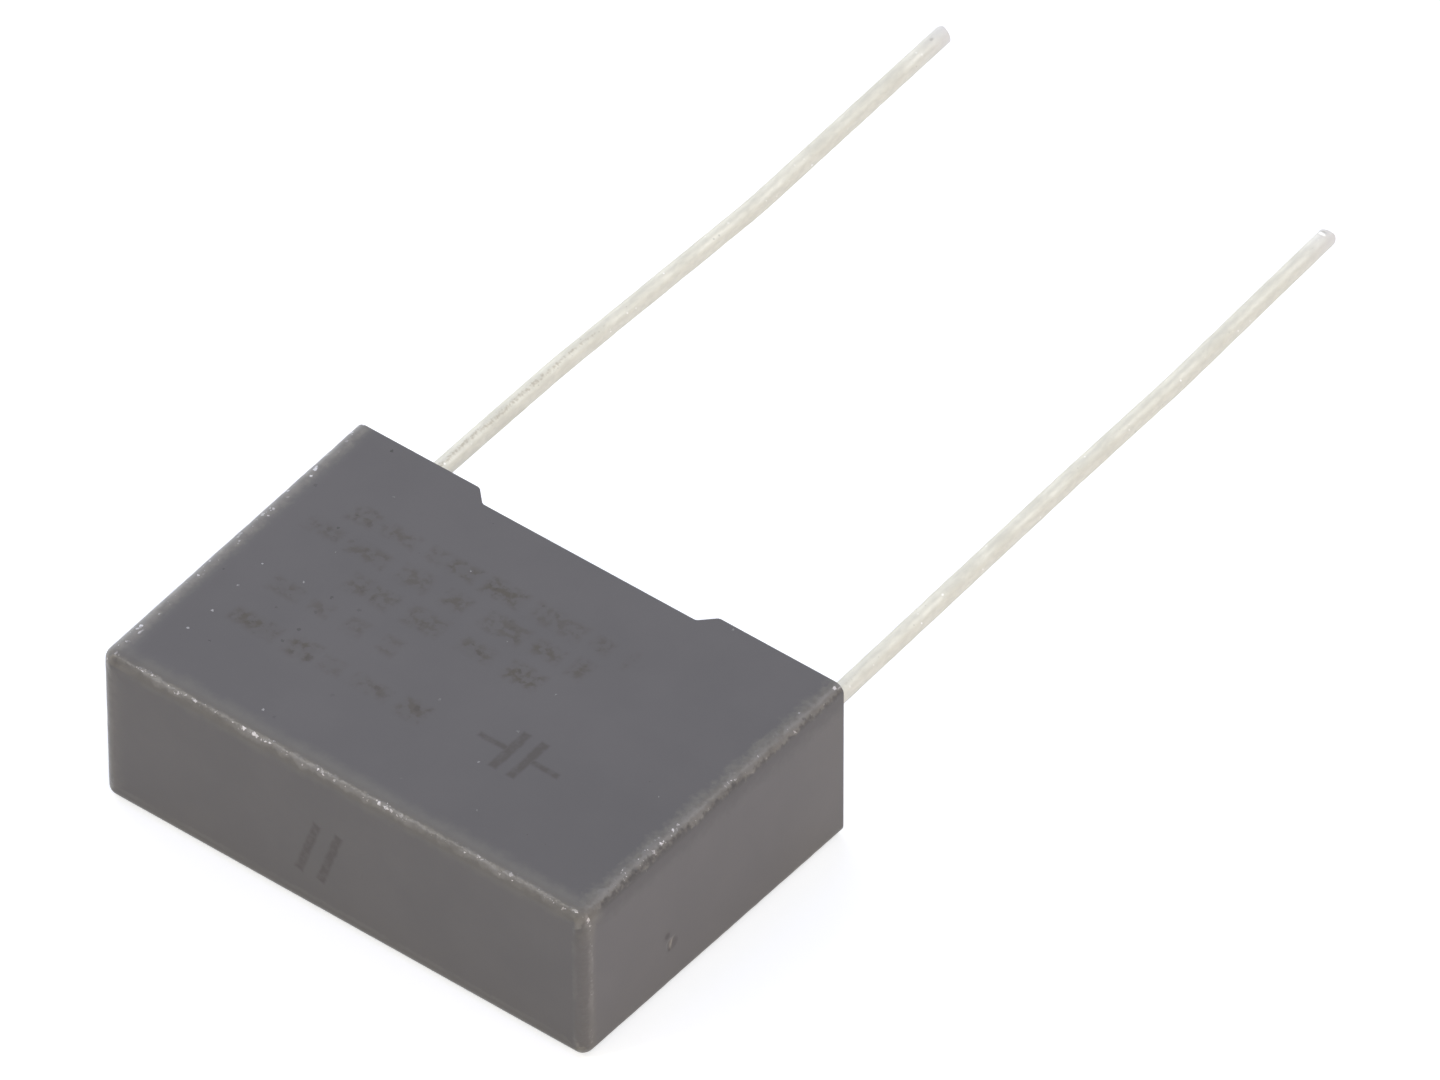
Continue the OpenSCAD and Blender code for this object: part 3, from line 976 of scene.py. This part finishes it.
def tinMaterial():
    material, tree, shader = startMaterial("tinned wire")
    place = millimetres(tree)
    drawn = grains(tree, millimetres(tree, tinned["drawn"]), 1.0, tinned["detail"])
    blotch = grains(tree, millimetres(tree, tinned["blotch"]), 1.0, tinned["detail"])
    # painted glints
    glintFlecks = times(tree, scattered(tree, place, *tinned["glintFlecks"]), fade(tree, blotch, *tinned["flecksFade"]))
    seam = plus(tree, weights(tree, "seam"), sway(tree, place, *tinned["seamRags"]))
    breaks = fade(tree, grains(tree, place, *tinned["seamBreaks"]), *tinned["seamBreaksFade"])
    nick = weights(tree, "nick")
    tone = blend(tree, fade(tree, drawn, *tinned["drawnFade"]), tinned["dull"], tinned["bright"])
    layers = [
        (fade(tree, blotch, *tinned["blotchFade"]), tinned["dull"]),
        (times(tree, weights(tree, "grey"), tinned["greyCover"]), tinned["grey"]),
        (glintFlecks, tinned["glintTone"]),
        (times(tree, fade(tree, seam, *tinned["seamFade"]), breaks), tinned["seam"]),
        (times(tree, scattered(tree, place, *tinned["specks"]), tinned["speckCover"]), tinned["stainAndShade"]),
        # painted highlight on the raised cutter's marks, painted shade in the sunk ones
        (fade(tree, nick, *tinned["raisedHighlight"]), tinned["glintTone"]),
        (fade(tree, nick, *tinned["sunk"]), tinned["stainAndShade"]),
    ]
    for cover, colour in layers:
        tone = blend(tree, cover, tone, colour)
    tree.links.new(tone, shader.inputs["Base Color"])
    tree.links.new(fade(tree, blotch, *tinned["roughness"]), shader.inputs["Roughness"])
    shader.inputs["Metallic"].default_value = tinned["metallic"]
    strength = {"Strength": tinned["bumpStrength"]}
    coat = add(tree, "Bump", {"Height": drawn, "Distance": tinned["drawnDepth"]} | strength)
    values = {"Height": blotch, "Distance": tinned["blotchDepth"], "Normal": coat}
    tree.links.new(add(tree, "Bump", values | strength), shader.inputs["Normal"])
    return material


resin = {
    "dark": (0.062, 0.062, 0.064, 1),
    "light": (0.088, 0.086, 0.085, 1),
    "dust": (0.2, 0.19, 0.18, 1),
    "flow": (0.6, 4.0),
    "flowFade": (0.3, 0.7),
    "flowDepth": 0.12 * mm,
    "flowStrength": 0.6,
    "fine": (9.0, 2.0),
    "dustFade": (0.68, 0.8, 0.0, 0.35),
    "fineDepth": 0.004 * mm,
    "fineStrength": 0.5,
    "roughness": (0.28, 0.42),
}


def resinMaterial():
    material, tree, shader = startMaterial("cast resin")
    place = millimetres(tree)
    flow = grains(tree, place, *resin["flow"])
    fine = grains(tree, place, *resin["fine"])
    tone = blend(tree, fade(tree, flow, *resin["flowFade"]), resin["dark"], resin["light"])
    tone = blend(tree, fade(tree, fine, *resin["dustFade"]), tone, resin["dust"])
    tree.links.new(tone, shader.inputs["Base Color"])
    tree.links.new(fade(tree, flow, *resin["flowFade"], *resin["roughness"]), shader.inputs["Roughness"])
    values = {"Height": flow, "Distance": resin["flowDepth"], "Strength": resin["flowStrength"]}
    swell = add(tree, "Bump", values)
    values = {"Height": fine, "Distance": resin["fineDepth"], "Strength": resin["fineStrength"]}
    tree.links.new(add(tree, "Bump", values | {"Normal": swell}), shader.inputs["Normal"])
    return material


film = {
    "edge": (0.50, 0.48, 0.43, 1),
    "face": (0.64, 0.62, 0.57, 1),
    "turns": (0.4, 18, 18),  # edges of the turns, in waves to a millimetre along each axis
    "detail": 3.0,
    "roughness": 0.38,
    "depth": 0.01 * mm,
    "strength": 0.6,
}
spray = {
    "dark": (0.30, 0.31, 0.33, 1),
    "light": (0.52, 0.53, 0.55, 1),
    "drops": (6.0, 5.0),
    "roughness": 0.68,
    "metallic": 0.8,
    "depth": 0.06 * mm,
    "strength": 1.0,
}
hiddenFade = (0.35, 0.65)


# a finish of the hidden pieces: one noise between two tones, and a bump of it
def hiddenFinish(tree, shader, noiseSocket, low, high, looks):
    tone = blend(tree, fade(tree, noiseSocket, *hiddenFade), low, high)
    tree.links.new(tone, shader.inputs["Base Color"])
    shader.inputs["Roughness"].default_value = looks["roughness"]
    values = {"Height": noiseSocket, "Distance": looks["depth"], "Strength": looks["strength"]}
    tree.links.new(add(tree, "Bump", values), shader.inputs["Normal"])


def filmMaterial():
    material, tree, shader = startMaterial("wound film")
    turns = grains(tree, millimetres(tree, film["turns"]), 1.0, film["detail"])
    hiddenFinish(tree, shader, turns, film["edge"], film["face"], film)
    return material


def sprayMaterial():
    material, tree, shader = startMaterial("sprayed metal")
    drops = grains(tree, millimetres(tree), *spray["drops"])
    hiddenFinish(tree, shader, drops, spray["dark"], spray["light"], spray)
    shader.inputs["Metallic"].default_value = spray["metallic"]
    return material


dress(caseShell, plasticMaterial())
wireTin = tinMaterial()
dress(leftLead, wireTin)
dress(rightLead, wireTin)
dress(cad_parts["potting_resin"], resinMaterial())
dress(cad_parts["film_winding"], filmMaterial())
sprayed = sprayMaterial()
for node in ("left_end_spray", "right_end_spray"):
    dress(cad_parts[node], sprayed)
print("materials made")

# white where it is seen, and a plain grey room that lights everything
surroundings = {"shown": 1.0, "ambient": 0.28, "tint": (0.87, 0.89, 0.95, 1)}
world = bpy.data.worlds.new("studio")
world.use_nodes = True
scene.world = world
tree = world.node_tree
room = tree.nodes["Background"]
room.inputs["Color"].default_value = surroundings["tint"]
room.inputs["Strength"].default_value = surroundings["ambient"]
white = tree.nodes.new("ShaderNodeBackground")
white.inputs["Strength"].default_value = surroundings["shown"]
white.inputs["Color"].default_value = (1, 1, 1, 1)
mix = tree.nodes.new("ShaderNodeMixShader")
tree.links.new(showsBackground(tree), mix.inputs[0])
tree.links.new(room.outputs[0], mix.inputs[1])
tree.links.new(white.outputs[0], mix.inputs[2])
tree.links.new(mix.outputs[0], tree.nodes["World Output"].inputs["Surface"])

# a pale table that the camera sees lifted to white, so that only the shadow is left on it
table = {
    "reach": 2.0,
    "drop": 0.02 * mm,  # below what lies on it
    "colour": (0.82, 0.805, 0.765, 1),
    "roughness": 0.9,
    "lift": 0.62,
    "liftTint": (0.92, 0.96, 1, 1),
}
reach = table["reach"]
corners = [(-reach, -reach, 0), (reach, -reach, 0), (reach, reach, 0), (-reach, reach, 0)]
floorMesh = bpy.data.meshes.new("floor")
floorMesh.from_pydata(corners, [], [(0, 1, 2, 3)])
floor = bpy.data.objects.new("floor", floorMesh)
floor.location.z = -table["drop"]
scene.collection.objects.link(floor)


def floorMaterial():
    material, tree, shader = startMaterial("pale floor")
    shader.inputs["Base Color"].default_value = table["colour"]
    shader.inputs["Roughness"].default_value = table["roughness"]
    shader.inputs["Emission Color"].default_value = table["liftTint"]
    lift = times(tree, showsBackground(tree), table["lift"])
    tree.links.new(lift, shader.inputs["Emission Strength"])
    return material


dress(floor, floorMaterial())

# lamps round the table: direction, distance, size, the level each gives a surface facing it, its tint,
# and whether it is mirrored in glossy surfaces, which the strongly tinted ones are not
lamps = {
    "overhead": ((-0.35, 0.05, 0.93), 0.9, 0.6, 0.215, (0.195, 0.337, 1), False),
    "backRight": ((0.30, 0.57, 0.77), 0.9, 0.5, 0.17, (0.95, 0.97, 1), True),
    "right": ((0.95, -0.15, 0.28), 0.9, 0.5, 0.30, (1, 0.74, 0.62), False),
    "rightSoft": ((0.95, -0.15, 0.28), 0.95, 0.5, 0.18, (1, 0.93, 0.90), True),
    "frontLeft": ((-0.44, -0.53, 0.72), 0.9, 0.22, 0.18, (1, 0.96, 0.88), True),
    "front": ((-0.30, -0.90, 0.32), 0.9, 0.5, 0.18, (1, 0.83, 0.54), False),
    "left": ((-0.74, 0.52, 0.42), 0.9, 0.7, 0.2, (0.97, 0.98, 1), True),
}
for name, (direction, distance, size, level, tint, mirrored) in lamps.items():
    light = bpy.data.lights.new(name, "AREA")
    light.size = size
    light.color = tint
    light.energy = level * math.pi**2 * distance**2
    holder = bpy.data.objects.new(name, light)
    holder.visible_glossy = mirrored
    toward = Vector(direction).normalized()
    holder.location = toward * distance
    holder.rotation_euler = toward.to_track_quat("Z", "Y").to_euler()
    scene.collection.objects.link(holder)

# camera where the photograph was taken from
view = {
    "place": (273.738 * mm, -339.602 * mm, 427.743 * mm),
    "azimuth": math.radians(37.930),
    "elevation": math.radians(43.698),
    "roll": math.radians(0.2035),
    "lens": 525.80,
    "sensor": 36.0,
    "clip": (0.01, 10),
}
cameraData = bpy.data.cameras.new("camera")
cameraData.lens = view["lens"]
cameraData.sensor_width = view["sensor"]
cameraData.clip_start, cameraData.clip_end = view["clip"]
camera = bpy.data.objects.new("camera", cameraData)
camera.location = view["place"]
turn = Matrix.Rotation(view["azimuth"], 4, "Z") @ Matrix.Rotation(math.pi / 2 - view["elevation"], 4, "X")
camera.rotation_euler = (turn @ Matrix.Rotation(view["roll"], 4, "Z")).to_euler()
scene.collection.objects.link(camera)
scene.camera = camera
print("scene set")
